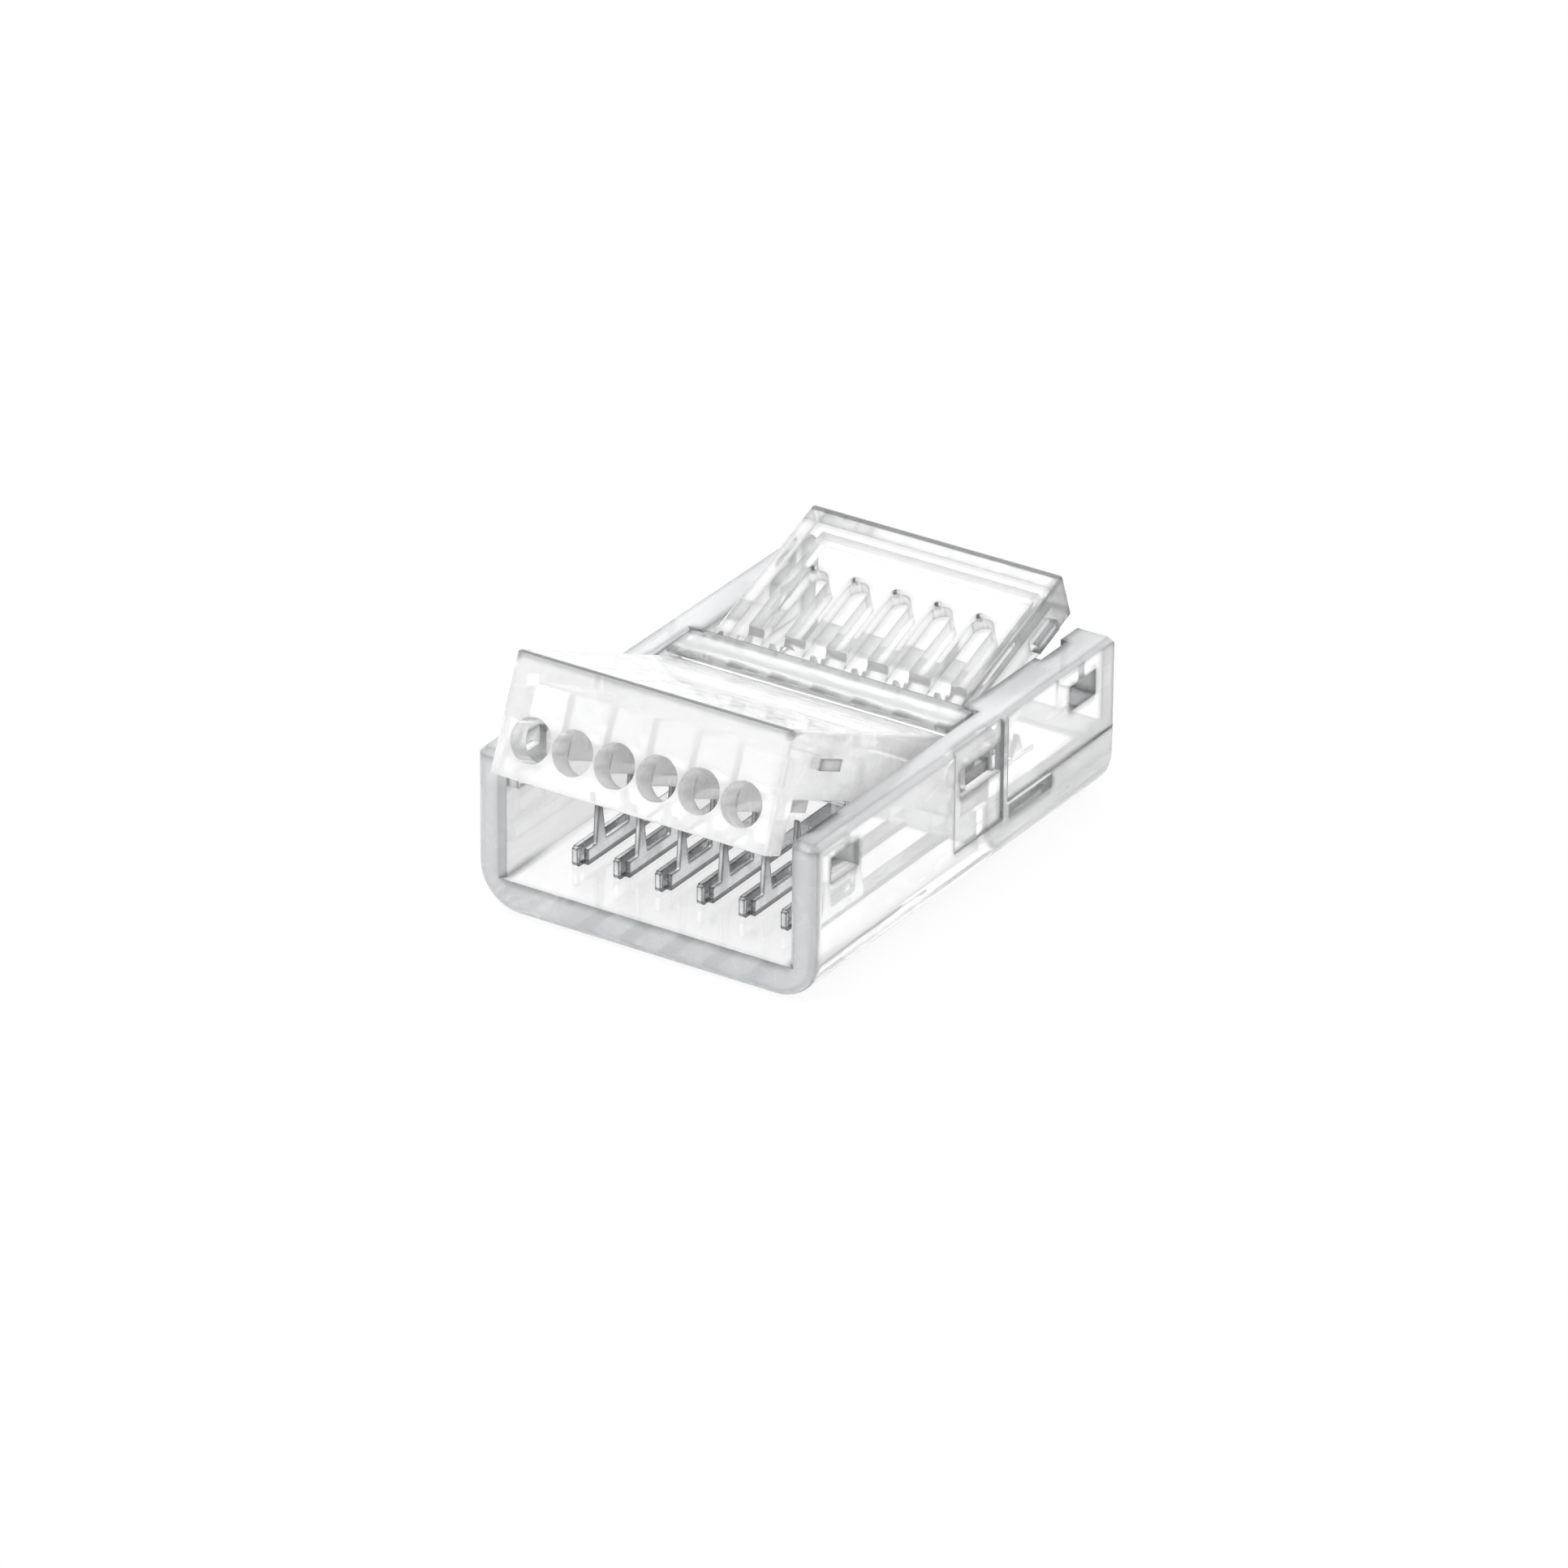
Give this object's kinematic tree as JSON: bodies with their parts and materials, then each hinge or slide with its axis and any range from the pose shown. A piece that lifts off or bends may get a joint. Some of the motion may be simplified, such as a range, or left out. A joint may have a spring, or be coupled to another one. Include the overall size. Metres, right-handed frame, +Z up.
{
  "type": "wire to light strip connector",
  "caption": "Clear snap-shut tray connector that joins loose wires to a flexible light strip, with two hinged covers and folded piercing contacts.",
  "frame": {"origin": "centre of the tray's underside", "axes": "+Z up, +Y towards the light strip's end, X across the contacts"},
  "size_m": [0.0162, 0.0241, 0.0116],
  "materials": {
    "tray_clear": "gloss",
    "wire_cover_clear": "gloss",
    "strip_cover_clear": "gloss",
    "bridge_clear": "gloss",
    "contact_metal": "satin"
  },
  "bodies": {
    "housing": {"tray": "tray_clear", "contact_bridge": "bridge_clear", "contact_1": "contact_metal", "contact_2": "contact_metal", "contact_3": "contact_metal", "contact_4": "contact_metal", "contact_5": "contact_metal", "contact_6": "contact_metal"},
    "wire_lid": {"wire_cover": "wire_cover_clear"},
    "strip_lid": {"strip_cover": "strip_cover_clear"}
  },
  "joints": [
    {"name": "wire_lid_hinge", "type": "hinge", "parent": "housing", "child": "wire_lid", "pos_m": [0, -0.00065, 0.0058], "axis": [-1, 0, 0], "range_deg": [-23.8, 41]},
    {"name": "strip_lid_hinge", "type": "hinge", "parent": "housing", "child": "strip_lid", "pos_m": [0, 0.00325, 0.0058], "axis": [1, 0, 0], "range_deg": [-20, 29]}
  ]
}
